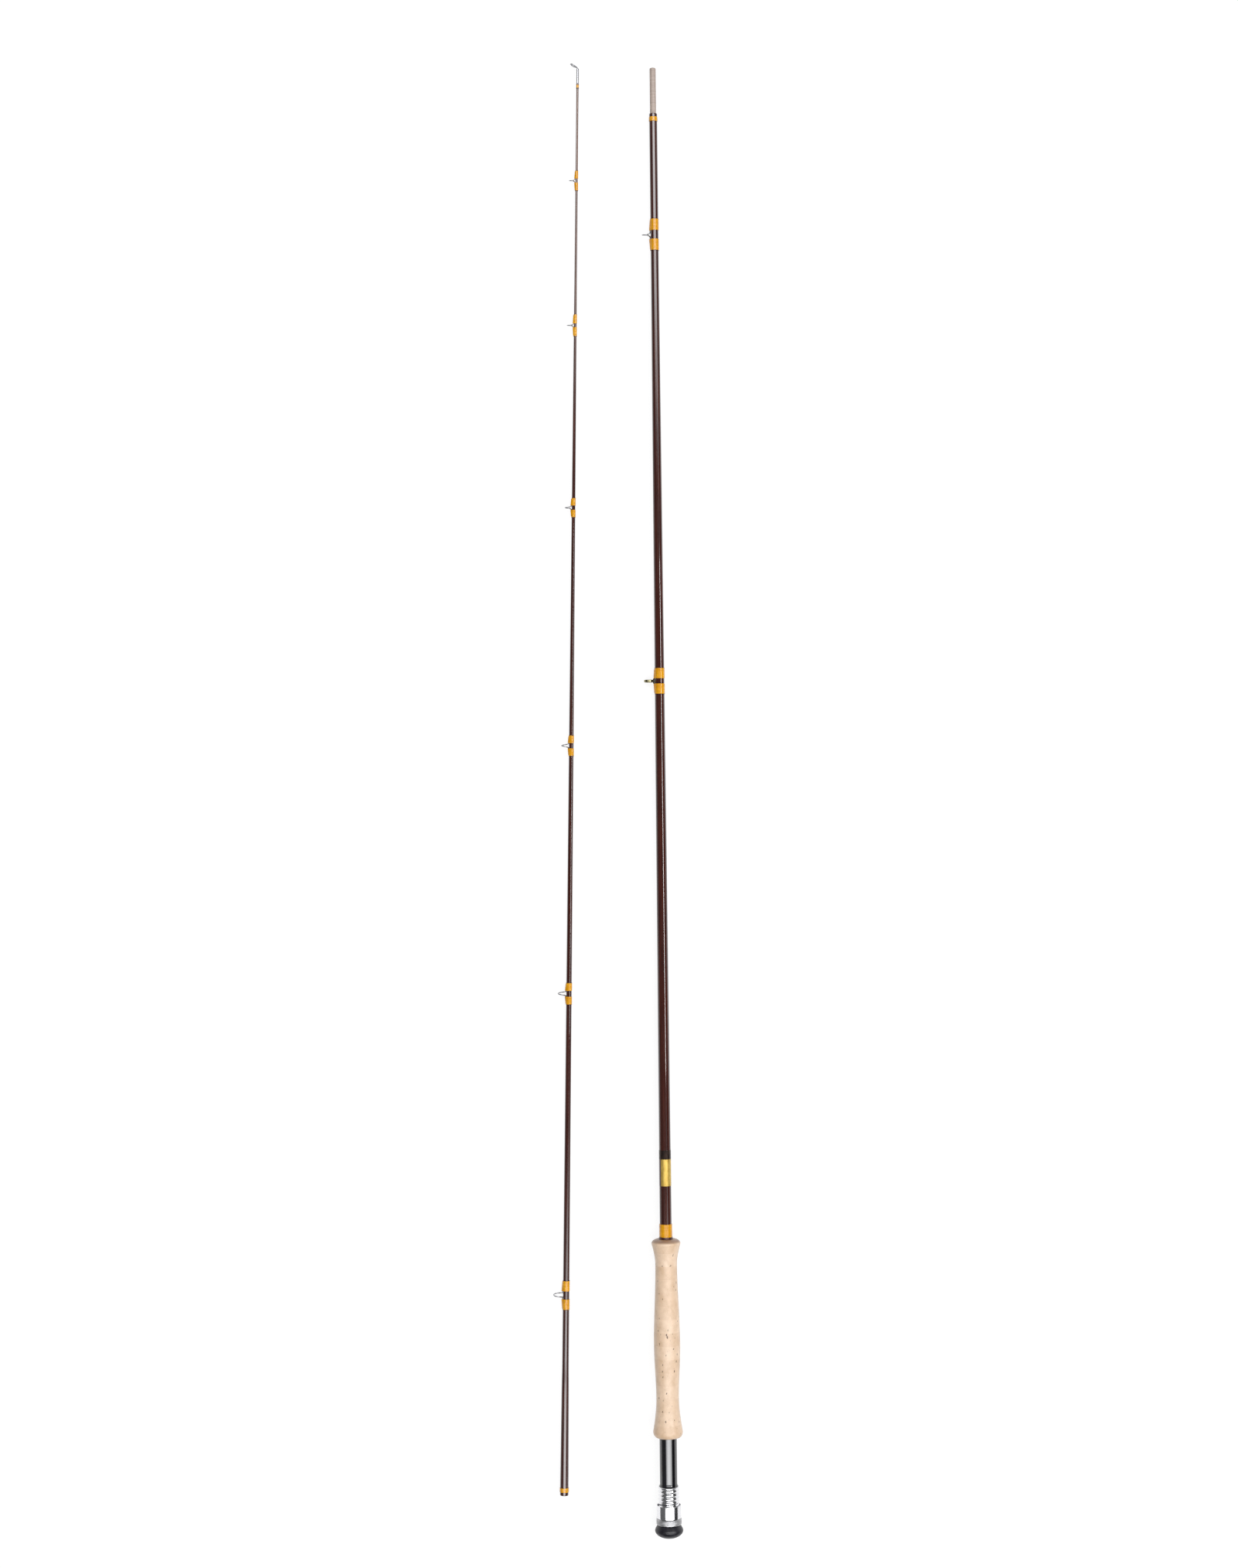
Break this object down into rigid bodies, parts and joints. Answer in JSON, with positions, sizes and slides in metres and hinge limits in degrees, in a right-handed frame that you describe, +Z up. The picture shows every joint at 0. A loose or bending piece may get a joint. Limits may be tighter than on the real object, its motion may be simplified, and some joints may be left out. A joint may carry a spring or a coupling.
{
  "type": "fly fishing rod",
  "caption": "Hollow glass fly rod taken apart into a tip section and a butt section, with a shaped cork grip, wire line guides and a reel seat with a sliding hood and lock ring.",
  "frame": {"origin": "on the floor, in the middle of the floor area that the two sections cover as they lie side by side", "axes": "+Y along the butt section from its rubber cap to its spigot, which is also the way that the tip section points; the line guides point to -X; +Z is up from the floor"},
  "size_m": [0.1227, 1.411, 0.0299],
  "materials": {
    "blank": "gloss varnish over brown glass fibre",
    "spigot": "ground glass fibre",
    "thread": "gold thread under varnish",
    "winding_check": "gloss",
    "guide_wire": "polished wire",
    "stripping_frame": "dark oxide",
    "stripping_ring": "worn olive brass tint",
    "label": "plain gold band with no lettering",
    "hood_liner": "satin",
    "arbor": "pressed fibre",
    "barrel": "black gloss",
    "polished_metal": "polished",
    "lock_ring": "matte, finely knurled",
    "rubber_cap": "semi-gloss rubber",
    "cork": "sanded cork"
  },
  "bodies": {
    "butt_section": {"butt_blank": "blank", "spigot": "spigot", "ferrule_winding": "thread", "butt_snake_guide": "guide_wire", "butt_snake_windings": "thread", "stripping_frame": "stripping_frame", "stripping_ring": "stripping_ring", "stripping_windings": "thread", "label_band": "label", "grip_winding": "thread", "winding_check": "winding_check", "fixed_hood": "hood_liner", "seat_arbors": "arbor", "seat_barrel": "barrel", "thread_sleeve": "polished_metal", "butt_cap": "rubber_cap", "cork_ring_1": "cork", "cork_ring_2": "cork", "cork_ring_3": "cork", "cork_ring_4": "cork", "cork_ring_5": "cork", "cork_ring_6": "cork", "cork_ring_7": "cork", "cork_ring_8": "cork", "cork_ring_9": "cork", "cork_ring_10": "cork", "cork_ring_11": "cork", "cork_ring_12": "cork", "cork_ring_13": "cork", "cork_ring_14": "cork", "cork_ring_15": "cork"},
    "sliding_hood": {"sliding_hood": "polished_metal"},
    "lock_ring": {"lock_ring": "lock_ring"},
    "tip_section": {"tip_blank": "blank", "socket_winding": "thread", "tip_top_tube": "guide_wire", "tip_top_loop": "guide_wire", "tip_top_winding": "thread", "snake_guide_1": "guide_wire", "snake_guide_2": "guide_wire", "snake_guide_3": "guide_wire", "snake_guide_4": "guide_wire", "snake_guide_5": "guide_wire", "snake_guide_6": "guide_wire", "guide_windings_1": "thread", "guide_windings_2": "thread", "guide_windings_3": "thread", "guide_windings_4": "thread", "guide_windings_5": "thread", "guide_windings_6": "thread"}
  },
  "joints": [
    {"name": "hood_slide", "type": "slide", "parent": "butt_section", "child": "sliding_hood", "axis": [0, 1, -0.009], "range_m": [0, 0.024]},
    {"name": "ring_turn", "type": "hinge", "parent": "sliding_hood", "child": "lock_ring", "pos_m": [0.04718, -0.69236, 0.01631], "axis": [0, 1, -0.009], "range_deg": [0, 2400]},
    {"name": "tip_section_slide", "type": "slide", "parent": "butt_section", "child": "tip_section", "axis": [0.0666, 0.9978, 0], "range_m": [0, 1.5006]}
  ],
  "couplings": [
    {"joint": "hood_slide", "follows": "ring_turn", "m_per_rad": 0.00057296}
  ]
}
